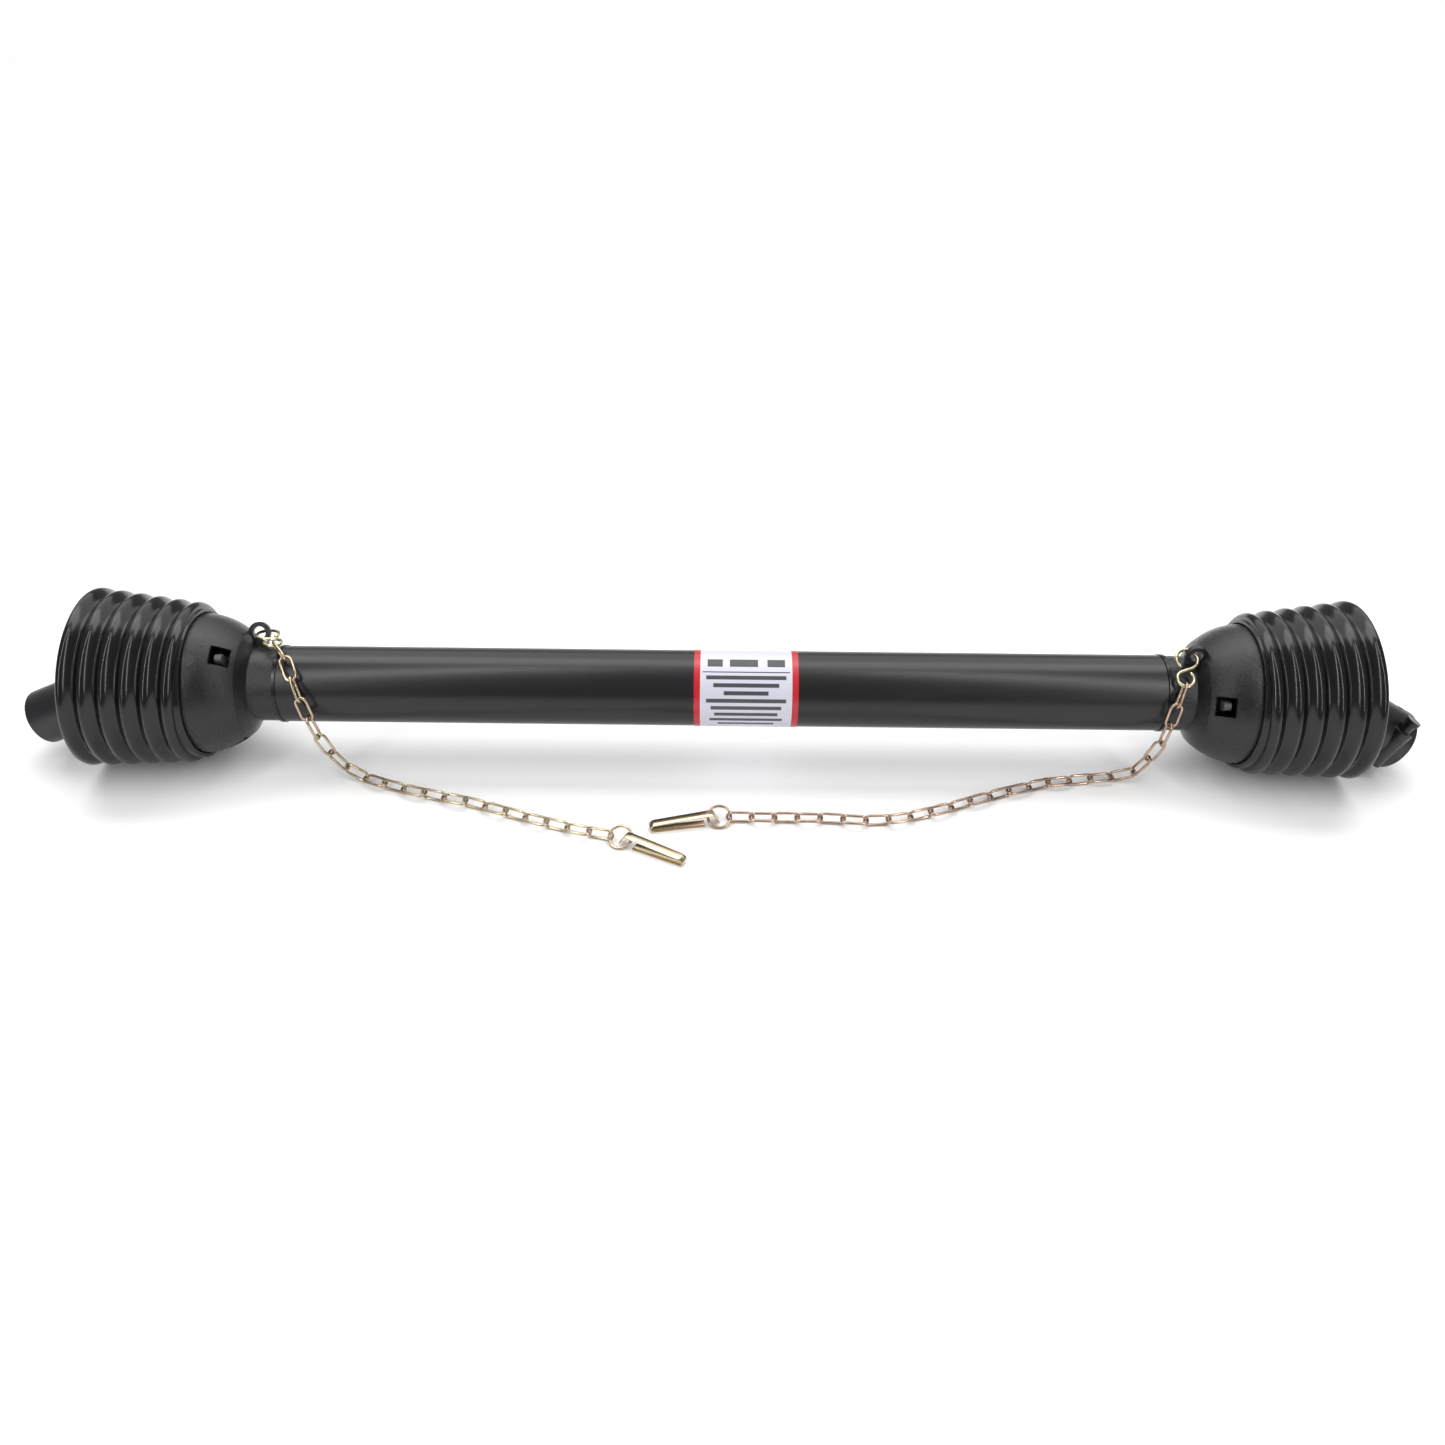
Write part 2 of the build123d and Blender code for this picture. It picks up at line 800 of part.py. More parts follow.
def make_chain_ring(plane):
    with BuildPart() as ring:
        with Locations(plane):
            add(ring_shape)
    return ring


def band(points, thickness):
    """Outline of a bent strip round its centre line."""
    left = []
    right = []
    for index, (x, y) in enumerate(points):
        before = points[max(index - 1, 0)]
        after = points[min(index + 1, len(points) - 1)]
        first = Vector(x - before[0], y - before[1]) if index else Vector(after[0] - x, after[1] - y)
        second = Vector(after[0] - x, after[1] - y) if index < len(points) - 1 else first
        first = first.normalized()
        second = second.normalized()
        mitre = (Vector(-first.Y, first.X) + Vector(-second.Y, second.X)).normalized()
        width = thickness / 2 / mitre.dot(Vector(-first.Y, first.X))
        left.append((x + mitre.X * width, y + mitre.Y * width))
        right.append((x - mitre.X * width, y - mitre.Y * width))
    return left + right[::-1]


def make_clip(plane, across_ring, turn):
    """Strip folded over the ring's wire, out along the floor and curled back at its tip."""
    angle = math.radians(turn)
    wire = plane.origin + (plane.x_dir * math.cos(angle) + across_ring * math.sin(angle)) * chain_ring_r
    out = Vector(wire.X - plane.origin.X, wire.Y - plane.origin.Y, 0).normalized()
    frame = Plane(origin=(wire.X, wire.Y, 0), x_dir=out, z_dir=out.cross(Vector(0, 0, 1)))
    rise = strip_width / 2 * math.sin(math.radians(ring_tilt))
    top = wire.Z + (wire_d + strip_thickness) / 2 + rise + clip_gap
    low = strip_thickness / 2
    tip_z = low + 2 * clip_tip
    centre_line = [
        (-clip_tab - clip_bend, clip_tab_end),
        (-clip_tab / 2, top),
        (clip_length - clip_tip, tip_z + clip_spring),
        (clip_length, low + clip_tip + clip_bend),
        (clip_length - clip_bend, low + clip_bend),
        (clip_length - clip_tip - clip_bend, low),
        (clip_lower_start, low),
    ]
    with BuildPart() as clip:
        with BuildSketch(frame):
            with BuildLine():
                Polyline(*band(centre_line, strip_thickness), close=True)
            make_face()
        extrude(amount=strip_width / 2, both=True)
    return clip


# Chain routes: points chosen by hand, as x and y from the shaft's middle and axis
def on_tube(x, clock):
    return Vector(x, shaft_y, shaft_z) + radial(clock) * drape_r


def hanging(x, y, share):
    """Point off the tube, its height a share of the shaft's."""
    return Vector(x, shaft_y + y, shaft_z * share)


def on_floor(x, y):
    return Vector(x, shaft_y + y, floor_link_z)


implement_route = [
    on_tube(-368, -28),
    on_tube(-360, -58),
    on_tube(-354, -82),
    hanging(-349.5, -41, 0.77),
    hanging(-340.5, -41.5, 0.46),
    hanging(-331, -42, 0.24),
    on_floor(-317, -44),
    on_floor(-300, -52.5),
    on_floor(-281, -60),
    on_floor(-245, -71),
    on_floor(-210, -80),
    on_floor(-173, -94.5),
    on_floor(-135, -108),
    on_floor(-100, -118),
    on_floor(-69, -124),
]
tractor_route = [
    on_tube(383, -72),
    hanging(380.5, -40.5, 0.89),
    hanging(376, -41, 0.61),
    hanging(366.5, -40, 0.33),
    hanging(359, -38, 0.17),
    on_floor(346, -35),
    on_floor(327, -38),
    on_floor(288, -44),
    on_floor(254, -55),
    on_floor(219, -69),
    on_floor(185, -83.5),
    on_floor(149, -95.5),
    on_floor(127, -98),
    on_floor(86, -95),
    on_floor(45, -95),
    on_floor(-10, -95),
]

link_shape = make_wire_loop(link_points())
ring_shape = make_wire_loop(ring_points())

# Each end of the shaft: name, side, droop, eye clock, S-hook drop and swing, route, links, clip turn
ends = [
    ("implement", -1, implement_droop, implement_eye_clock, -8, 60, implement_route, 20, -14),
    ("tractor", 1, tractor_droop, tractor_eye_clock, 32, 80, tractor_route, 24, -12),
]

for name, side, droop, eye_clock, drop, swing, route, links, clip_turn in ends:
    frame = end_frame(side, droop)
    hook = hook_plane(side, eye_clock, drop, swing)
    knots = spaced([chain_start(hook)] + route, links)
    tail_from = (run_from_link + links) // 2
    ring_at, across_ring = ring_plane(knots)
    finish(make_inner_yoke(side), f"{name}_inner_yoke")
    finish(make_yoke_pin(side), f"{name}_yoke_pin")
    finish(make_caps(inner_frame(side)), f"{name}_inner_caps")
    finish(make_snap_rings(inner_frame(side)), f"{name}_inner_rings")
    finish(make_cross(frame), f"{name}_cross")
    finish(make_seals(frame), f"{name}_cross_seals")
    finish(make_grease_nipple(frame), f"{name}_grease_nipple")
    finish(make_caps(frame), f"{name}_outer_caps")
    finish(make_snap_rings(frame), f"{name}_outer_rings")
    finish(make_guard_cone(side, eye_clock), f"{name}_guard_cone")
    finish(make_shield_bearing(side, eye_clock), f"{name}_shield_bearing")
    finish(make_retaining_ring(side), f"{name}_retaining_ring")
    finish(make_bellows(side), f"{name}_bellows")
    finish(make_s_hook(hook), f"{name}_s_hook")
    finish(make_links(knots[: run_from_link + 1], 0), f"{name}_chain_drape")
    finish(make_links(knots[run_from_link : tail_from + 1], run_from_link), f"{name}_chain_run")
    finish(make_links(knots[tail_from:], tail_from), f"{name}_chain_tail")
    finish(make_chain_ring(ring_at), f"{name}_chain_ring")
    finish(make_clip(ring_at, across_ring, clip_turn), f"{name}_chain_clip")

# End yokes and push pin
finish(make_implement_end_yoke(end_frame(-1, implement_droop)), "implement_end_yoke")
finish(make_tractor_end_yoke(end_frame(1, tractor_droop)), "tractor_end_yoke")
finish(make_push_pin(end_frame(1, tractor_droop)), "tractor_push_pin")

# Tubes and label
hub_x = cross_x - throat - inner_hub_length
outer_free_x = hub_x - outer_profile_free
inner_free_x = -hub_x - socket_depth + inner_profile_free
finish(make_profile_tube(-1, outer_free_x, outer_profile_wall), "outer_profile_tube")
finish(make_profile_tube(1, inner_free_x, inner_profile_wall), "inner_profile_tube")
outer_start = -collar_x + bead_width
outer_end = collar_x - bead_width - tube_end_gap
inner_start = -collar_x + spigot_length + inner_tube_set_back
inner_end = collar_x + collar_length - collar_floor
finish(make_guard_tube(outer_start, outer_end, outer_tube_r, outer_tube_wall), "outer_guard_tube")
finish(make_guard_tube(inner_start, inner_end, inner_tube_r, inner_tube_wall), "inner_guard_tube")
finish(make_label(), "guard_label")
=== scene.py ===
import json
import math

import bpy
import bmesh
import numpy as np
from mathutils import Matrix, Vector


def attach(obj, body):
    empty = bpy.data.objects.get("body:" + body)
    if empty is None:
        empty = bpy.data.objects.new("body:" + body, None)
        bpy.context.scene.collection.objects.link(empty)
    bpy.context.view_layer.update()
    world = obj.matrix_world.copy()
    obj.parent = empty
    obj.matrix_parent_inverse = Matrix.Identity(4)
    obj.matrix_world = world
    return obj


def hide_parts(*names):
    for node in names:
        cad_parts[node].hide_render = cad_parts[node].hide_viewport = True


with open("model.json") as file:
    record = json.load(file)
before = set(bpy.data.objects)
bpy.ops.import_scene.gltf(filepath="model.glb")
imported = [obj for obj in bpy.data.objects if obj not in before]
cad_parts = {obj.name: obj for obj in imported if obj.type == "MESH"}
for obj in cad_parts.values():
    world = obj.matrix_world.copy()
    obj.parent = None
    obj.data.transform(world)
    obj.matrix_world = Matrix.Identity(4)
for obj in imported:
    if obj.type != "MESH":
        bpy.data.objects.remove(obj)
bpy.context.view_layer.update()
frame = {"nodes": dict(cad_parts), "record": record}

MM = 0.001

# Sizes, in millimetres
seam_x = 451.0
bellows_tilt = 3.5
ridge_pitch = 16.4
ridge_depth = 5.0
ridge_growth = 1.4
first_ridge_at = 7.0
first_ridge_r = 70.2
wall_start = 2.5
wall_inner_r = 63.0
mouth_at = 93.0
mouth_inner_r = 69.5
band_start = -3.5
band_end = 6.0
band_inner_r = 61.8
band_outer_r = 64.7
wire_r = 1.24
link_reach = 11.1
link_half = 4.8
chain_ring_r = 9.7
hook_wire_r = 1.5
hook_eye_r = 9.0
hook_chain_r = 7.0
hook_length = 18.5
hook_span = 300.0
hook_in_eye = 25.0
eye_x = 402.0
eye_reach = 44.0
strip_width = 8.0
strip_thickness = 1.2
strip_edge = 0.25
clip_length = 50.0
label_r = 33.05
label_thickness = 0.3
label_ends = (-24.0, 65.0)
label_clocks = (-175.0, 65.0)
label_band = 5.4
label_print_depth = 0.01
label_print_rise = 0.03

# Place of the shaft's axis, in metres
shaft_y = 39.5 * MM
shaft_z = 71.818 * MM

# Sharpest bend that is shaded smooth
node_crease = math.radians(28)
label_crease = math.radians(40)
piece_crease = math.radians(50)

bodies = frame["record"]["behaviour"]["bodies"]
body_of = {node: body for body, nodes in bodies.items() for node in nodes}


# Meshes
def add_mesh(name, points, faces):
    """Smooth-shaded object of points and faces."""
    mesh = bpy.data.meshes.new(name)
    mesh.from_pydata([tuple(p) for p in points], [], faces)
    mesh.validate()
    mesh.shade_smooth()
    piece = bpy.data.objects.new(name, mesh)
    bpy.context.scene.collection.objects.link(piece)
    return piece


def join_meshes(name, parts):
    """One piece of several separate sets of points and faces."""
    points = []
    faces = []
    for part_points, part_faces in parts:
        start = len(points)
        points += [tuple(p) for p in part_points]
        faces += [[i + start for i in face] for face in part_faces]
    return add_mesh(name, points, faces)


def lathe(profile, origin, along, up, steps=160):
    """Closed profile of (distance along, radius) turned about an axis."""
    along = Vector(along).normalized()
    up = Vector(up)
    up = (up - along * up.dot(along)).normalized()
    side = along.cross(up)
    points = []
    for step in range(steps):
        angle = 2 * math.pi * step / steps
        out = up * math.cos(angle) + side * math.sin(angle)
        points += [Vector(origin) + along * x + out * r for x, r in profile]
    count = len(profile)
    faces = []
    for step in range(steps):
        here = step * count
        there = (step + 1) % steps * count
        for i in range(count):
            j = (i + 1) % count
            faces.append([here + i, there + i, there + j, here + j])
    return points, faces


def wire(points, radius, sides=14, closed=False):
    """Round wire along a smooth centre line, with domed ends where it is open."""
    path = [Vector(p) for p in points]
    count = len(path)
    tangents = []
    for i in range(count):
        before = path[i - 1] if closed or i else path[i]
        after = path[(i + 1) % count] if closed or i < count - 1 else path[i]
        tangents.append((after - before).normalized())
    normal = tangents[0].orthogonal().normalized()
    verts = []
    frames = []
    for i in range(count):
        normal = (normal - tangents[i] * normal.dot(tangents[i])).normalized()
        frames.append(normal.copy())
    twist = 0.0
    if closed:
        last = (frames[-1] - tangents[0] * frames[-1].dot(tangents[0])).normalized()
        twist = math.atan2(tangents[0].dot(last.cross(frames[0])), last.dot(frames[0]))
    for i in range(count):
        extra = twist * i / count
        side = tangents[i].cross(frames[i])
        for k in range(sides):
            angle = 2 * math.pi * k / sides + extra
            verts.append(path[i] + (frames[i] * math.cos(angle) + side * math.sin(angle)) * radius)
    faces = []
    for i in range(count if closed else count - 1):
        here = i * sides
        there = (i + 1) % count * sides
        for k in range(sides):
            j = (k + 1) % sides
            faces.append([here + k, here + j, there + j, there + k])
    if not closed:
        for end, sign in ((0, -1), (count - 1, 1)):
            tip = len(verts)
            verts.append(path[end] + tangents[end] * sign * radius * 0.6)
            ring = [end * sides + k for k in range(sides)]
            for k in range(sides):
                pair = [ring[k], ring[(k + 1) % sides]]
                faces.append([tip] + (pair if sign > 0 else pair[::-1]))
    return verts, faces


def separate_solids(node):
    """The vertices of each separate solid of a node."""
    mesh = bmesh.new()
    mesh.from_mesh(frame["nodes"][node].data)
    bmesh.ops.remove_doubles(mesh, verts=mesh.verts, dist=1e-6)
    left = set(mesh.verts)
    solids = []
    while left:
        stack = [left.pop()]
        found = []
        while stack:
            vertex = stack.pop()
            found.append(vertex.co.copy())
            for edge in vertex.link_edges:
                other = edge.other_vert(vertex)
                if other in left:
                    left.remove(other)
                    stack.append(other)
        solids.append(found)
    mesh.free()
    return solids


def own_axes(points):
    """Centre and axes of a solid, longest first."""
    cloud = np.array([tuple(p) for p in points])
    centre = cloud.mean(0)
    cloud = cloud - centre
    _, vectors = np.linalg.eigh(cloud.T @ cloud)
    return Vector(centre), [Vector(vectors[:, i]) for i in (2, 1, 0)]


# Materials
def material(name, colour, roughness, metallic=0.0, second=None, specular=0.5, mottle=0.0, mottle_scale=60.0,
             stretch=1.0, marks=0.0, grain=0.0, grain_scale=400.0, grain_depth=0.4, edge=0.0004):
    """Surface with patches of a second colour, a fine relief, worn marks and softened edges."""
    made = bpy.data.materials.new(name)
    made.use_nodes = True
    nodes = made.node_tree.nodes
    links = made.node_tree.links
    shader = nodes["Principled BSDF"]
    shader.inputs["Metallic"].default_value = metallic
    shader.inputs["Specular IOR Level"].default_value = specular
    place = nodes.new("ShaderNodeTexCoord")
    along = nodes.new("ShaderNodeMapping")
    along.inputs["Scale"].default_value = (1 / stretch, 1, 1)
    links.new(place.outputs["Object"], along.inputs["Vector"])
    patches = nodes.new("ShaderNodeTexNoise")
    patches.inputs["Scale"].default_value = mottle_scale
    patches.inputs["Detail"].default_value = 5
    links.new(along.outputs["Vector"], patches.inputs["Vector"])
    mix = nodes.new("ShaderNodeMix")
    mix.data_type = "RGBA"
    mix.inputs["A"].default_value = (*colour, 1)
    other = second or tuple(c * (1 + mottle) for c in colour)
    mix.inputs["B"].default_value = (*other, 1)
    links.new(patches.outputs["Fac"], mix.inputs["Factor"])
    worn = nodes.new("ShaderNodeTexNoise")
    worn.inputs["Scale"].default_value = 35
    worn.inputs["Detail"].default_value = 9
    worn.inputs["Distortion"].default_value = 1.5
    links.new(along.outputs["Vector"], worn.inputs["Vector"])
    pick = nodes.new("ShaderNodeValToRGB")
    pick.color_ramp.elements[0].position = 0.62
    pick.color_ramp.elements[1].position = 0.72
    links.new(worn.outputs["Fac"], pick.inputs["Fac"])
    scale = nodes.new("ShaderNodeMath")
    scale.operation = "MULTIPLY"
    scale.inputs[1].default_value = marks
    links.new(pick.outputs["Color"], scale.inputs[0])
    dust = nodes.new("ShaderNodeMix")
    dust.data_type = "RGBA"
    pale = tuple(min(1, c * 2.5 + 0.01) for c in colour)
    dust.inputs["B"].default_value = (*pale, 1)
    links.new(scale.outputs["Value"], dust.inputs["Factor"])
    links.new(mix.outputs["Result"], dust.inputs["A"])
    links.new(dust.outputs["Result"], shader.inputs["Base Color"])
    spread = nodes.new("ShaderNodeMapRange")
    spread.inputs["To Min"].default_value = max(0.02, roughness - 0.07)
    spread.inputs["To Max"].default_value = min(1.0, roughness + 0.07)
    links.new(worn.outputs["Fac"], spread.inputs["Value"])
    links.new(spread.outputs["Result"], shader.inputs["Roughness"])
    rounded = nodes.new("ShaderNodeBevel")
    rounded.samples = 4
    rounded.inputs["Radius"].default_value = edge
    pebble = nodes.new("ShaderNodeTexNoise")
    pebble.inputs["Scale"].default_value = grain_scale
    pebble.inputs["Detail"].default_value = 3
    links.new(place.outputs["Object"], pebble.inputs["Vector"])
    relief = nodes.new("ShaderNodeBump")
    relief.inputs["Strength"].default_value = grain
    relief.inputs["Distance"].default_value = grain_depth * MM
    links.new(pebble.outputs["Fac"], relief.inputs["Height"])
    links.new(rounded.outputs["Normal"], relief.inputs["Normal"])
    links.new(relief.outputs["Normal"], shader.inputs["Normal"])
    return made


cone_plastic = material("cone_plastic", (0.0055, 0.005, 0.006), 0.27, specular=0.4, mottle=0.5, marks=0.2,
                        grain=0.8, grain_scale=900, grain_depth=0.45)
bead_plastic = material("bead_plastic", (0.003, 0.003, 0.0035), 0.22, specular=0.35, mottle=0.3, grain=0.05)
bellows_plastic = material("bellows_plastic", (0.0035, 0.003, 0.0038), 0.17, specular=0.4, mottle=0.5,
                           marks=0.12, grain=0.05, grain_scale=300)
tube_plastic = material("tube_plastic", (0.0055, 0.005, 0.006), 0.30, specular=0.4, mottle=0.6,
                        mottle_scale=120, stretch=9.0, marks=0.25, grain=0.12, grain_scale=240)
bearing_nylon = material("bearing_nylon", (0.05, 0.05, 0.052), 0.45, mottle=0.2, grain=0.1)
seal_rubber = material("seal_rubber", (0.015, 0.015, 0.015), 0.65, mottle=0.3, grain=0.2)
yoke_paint = material("yoke_paint", (0.008, 0.0075, 0.009), 0.33, specular=0.45, mottle=0.6, marks=0.4,
                      grain=0.45, grain_scale=200, edge=0.0012)
pin_black = material("pin_black", (0.012, 0.012, 0.013), 0.30, 0.4, mottle=0.4, marks=0.3, grain=0.1)
bright_steel = material("bright_steel", (0.50, 0.50, 0.49), 0.28, 1.0, mottle=0.15, grain=0.12,
                        grain_scale=900)
spring_steel = material("spring_steel", (0.15, 0.15, 0.16), 0.38, 1.0, mottle=0.3, grain=0.1)
profile_steel = material("profile_steel", (0.28, 0.28, 0.29), 0.38, 1.0, mottle=0.3, stretch=8.0, grain=0.1)
chain_zinc = material("chain_zinc", (0.32, 0.25, 0.16), 0.24, 1.0, (0.58, 0.48, 0.34), mottle_scale=180,
                      grain=0.08, grain_scale=700)
rose_zinc = material("rose_zinc", (0.30, 0.21, 0.15), 0.24, 1.0, (0.54, 0.40, 0.31), mottle_scale=180,
                     grain=0.08, grain_scale=700)
clip_zinc = material("clip_zinc", (0.44, 0.41, 0.27), 0.22, 1.0, (0.64, 0.50, 0.34), mottle_scale=90,
                     grain=0.05, grain_scale=500)
hook_zinc = material("hook_zinc", (0.40, 0.37, 0.22), 0.22, 1.0, (0.66, 0.60, 0.42), mottle_scale=90,
                     grain=0.05, grain_scale=500)


def film(name, colour, roughness, mottle):
    """Printed film of the label, its edges left sharp."""
    return material(name, colour, roughness, mottle=mottle, grain=0.05, grain_scale=120, edge=0.00005)


label_white = film("label_white", (0.54, 0.54, 0.62), 0.32, 0.05)
label_red = film("label_red", (0.42, 0.010, 0.018), 0.30, 0.15)
label_ink = film("label_ink", (0.02, 0.02, 0.025), 0.34, 0.3)
label_grey = film("label_grey", (0.045, 0.045, 0.055), 0.34, 0.4)

by_slot = {
    "cone_plastic": cone_plastic,
    "bellows_plastic": bellows_plastic,
    "tube_plastic": tube_plastic,
    "bearing_nylon": bearing_nylon,
    "seal_rubber": seal_rubber,
    "bright_steel": bright_steel,
    "spring_steel": spring_steel,
    "profile_steel": profile_steel,
    "yoke_paint": yoke_paint,
    "chain_zinc": chain_zinc,
    "rose_zinc": rose_zinc,
    "clip_zinc": clip_zinc,
    "label_film": label_white,
}
slot_of = {row["node"]: row["material_slot"] for row in frame["record"]["subparts"]}


def dress(piece, slot):
    """Gives a piece the one material of its slot."""
    piece.data.materials.clear()
    piece.data.materials.append(by_slot[slot])


def stand_for(piece, node):
    """A smooth piece that rides and is finished as the node it replaces."""
    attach(piece, body_of[node])
    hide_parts(node)
    dress(piece, slot_of[node])


for name, node in frame["nodes"].items():
    node.data.shade_smooth()
    node.data.set_sharp_from_angle(angle=node_crease)
    dress(node, slot_of[name])
    if name.endswith("retaining_ring"):
        node.data.materials[0] = bead_plastic
    if name == "tractor_push_pin":
        node.data.materials[0] = pin_black


# Bellows: rounded ribs on a tapering wall, turned about their tilted axis
def rib_radius(s):
    """Outer radius of the bellows at a distance from the seam."""
    ridge = (s - first_ridge_at) / ridge_pitch
    crest = first_ridge_r + ridge_growth * ridge
    wave = 0.5 + 0.5 * math.cos(2 * math.pi * ridge)
    return crest - ridge_depth * (1 - wave ** 0.62)


def make_bellows(side, name):
    """Ribbed cone from the seam to its rounded rim, with the band that laps over the bowl."""
    tilt = math.radians(bellows_tilt)
    origin = Vector((side * seam_x * MM, shaft_y, shaft_z))
    along = Vector((side * math.cos(tilt), 0, math.sin(tilt)))
    half_steps = range(int(wall_start * 2), int(mouth_at * 2) - 2)
    outside = [(s / 2, rib_radius(s / 2)) for s in half_steps]
    last = outside[-1][1]
    rim = [
        (mouth_at - 0.9, last - 0.3),
        (mouth_at - 0.3, last - 1.1),
        (mouth_at, last - 2.4),
        (mouth_at, mouth_inner_r + 1.2),
        (mouth_at - 0.3, mouth_inner_r + 0.3),
        (mouth_at - 1.2, mouth_inner_r),
    ]
    flare = (mouth_inner_r - wall_inner_r) / (mouth_at - wall_start)
    inside = [(s, wall_inner_r + flare * (s - wall_start)) for s in range(int(mouth_at) - 3, 2, -3)]
    profile = outside + rim + inside + [(wall_start, wall_inner_r)]
    scaled = [(x * MM, r * MM) for x, r in profile]
    ribs = lathe(scaled, origin, along, (0, 0, 1))
    straight = Vector((side, 0, 0))
    band = [
        (band_start, band_inner_r),
        (band_start, band_outer_r - 0.4),
        (band_start + 0.4, band_outer_r),
        (band_end - 0.4, band_outer_r),
        (band_end, band_outer_r),
        (band_end, band_inner_r),
    ]
    collar = lathe([(x * MM, r * MM) for x, r in band], origin, straight, (0, 0, 1))
    piece = join_meshes(name, [ribs, collar])
    piece.data.set_sharp_from_angle(angle=piece_crease)
    stand_for(piece, name.replace("_ribbed", "_bellows"))


make_bellows(-1, "implement_ribbed")
make_bellows(1, "tractor_ribbed")


# Chains: a smooth link where each faceted one lies
def link_path(centre, axes, steps=9):
    """Centre line of a link: two straight sides and two round ends."""
    along, across, _ = axes
    reach = link_reach * MM
    half = link_half * MM
    points = []
    for end in (1, -1):
        for step in range(steps):
            angle = -math.pi / 2 + math.pi * step / (steps - 1)
            x = end * (reach - half + half * math.cos(angle))
            y = end * half * math.sin(angle)
            points.append(centre + along * x + across * y)
    return points


def make_links(node, name):
    """Round-wire links, one for each solid of a stretch of chain."""
    parts = [wire(link_path(*own_axes(solid)), wire_r * MM, closed=True) for solid in separate_solids(node)]
    stand_for(join_meshes(name, parts), node)


def make_ring(node, name, steps=48):
    """Round-wire ring in the plane of the solid one."""
    centre, axes = own_axes(separate_solids(node)[0])
    points = []
    for step in range(steps):
        angle = 2 * math.pi * step / steps
        points.append(centre + (axes[0] * math.cos(angle) + axes[1] * math.sin(angle)) * chain_ring_r * MM)
    stand_for(join_meshes(name, [wire(points, wire_r * MM, closed=True)]), node)


def round_corners(corners, steps=6):
    """Smooth line through (x, y, corner radius), straight between the corners."""
    points = []
    for i, (x, y, radius) in enumerate(corners):
        here = Vector((x, y))
        if i in (0, len(corners) - 1):
            points.append(here)
            continue
        before = Vector(corners[i - 1][:2]) - here
        after = Vector(corners[i + 1][:2]) - here
        bend = before.angle(after)
        reach = min(radius / math.tan(bend / 2), before.length * 0.48, after.length * 0.48)
        start = here + before.normalized() * reach
        end = here + after.normalized() * reach
        for step in range(steps + 1):
            t = step / steps
            points.append(start * (1 - t) ** 2 + here * 2 * t * (1 - t) + end * t * t)
    return points


def strip(line, origin, out, side):
    """Flat strip bent along a line of (distance out, height), its long edges rounded."""
    half_w = strip_width / 2
    half_t = strip_thickness / 2
    flat = strip_edge
    inset = strip_edge * 0.3
    corner = [(half_w, half_t - flat), (half_w - inset, half_t - inset), (half_w - flat, half_t)]
    other = [(-x, y) for x, y in reversed(corner)]
    section = corner + other + [(-x, -y) for x, y in corner] + [(-x, -y) for x, y in other]
    up = Vector((0, 0, 1))
    points = []
    count = len(line)
    for i, here in enumerate(line):
        before = (here - line[i - 1]).normalized() if i else (line[1] - here).normalized()
        after = (line[i + 1] - here).normalized() if i < count - 1 else before
        first = Vector((-before.y, before.x))
        second = Vector((-after.y, after.x))
        normal = (first + second).normalized()
        stretch = 1 / max(0.6, normal.dot(first))
        for across, through in section:
            place = here + normal * through * stretch
            points.append(origin + (out * place.x + up * place.y + side * across) * MM)
    size = len(section)
    faces = []
    for i in range(count - 1):
        for k in range(size):
            j = (k + 1) % size
            faces.append([i * size + k, i * size + j, (i + 1) * size + j, (i + 1) * size + k])
    faces.append(list(range(size))[::-1])
    faces.append([(count - 1) * size + k for k in range(size)])
    return points, faces


def make_clip(end):
    """Spring clip: a strip folded over the ring and bent back on itself at its tip."""
    ring_centre, _ = own_axes(separate_solids(f"{end}_chain_ring")[0])
    cloud = separate_solids(f"{end}_chain_clip")[0]
    flat = np.array([(p.x, p.y) for p in cloud])
    _, vectors = np.linalg.eigh(np.cov((flat - flat.mean(0)).T))
    out = Vector((*vectors[:, 1], 0))
    middle = Vector((*flat.mean(0), 0))
    if (middle - ring_centre).dot(out) < 0:
        out = -out
    side = out.cross(Vector((0, 0, 1)))
    reach = max(p.dot(out) for p in cloud)
    sides = [p.dot(side) for p in cloud]
    start = reach - (clip_length + strip_thickness / 2) * MM
    origin = out * start + side * (max(sides) + min(sides)) / 2
    low = strip_thickness / 2
    top = max(p.z for p in cloud) / MM - low
    # From the fold over the ring, along the upper leg to the tip and back along the lower leg
    line = round_corners([
        (-9.0, 2.5, 0),
        (-4.5, top - 0.2, 2.4),
        (0.5, top - 0.1, 3.0),
        (46.0, 7.0, 3.0),
        (49.9, 4.2, 2.4),
        (47.6, low, 2.4),
        (3.0, low, 0),
    ], steps=8)
    piece = join_meshes(f"{end}_spring_clip", [strip(line, origin, out, side)])
    piece.data.set_sharp_from_angle(angle=piece_crease)
    stand_for(piece, f"{end}_chain_clip")


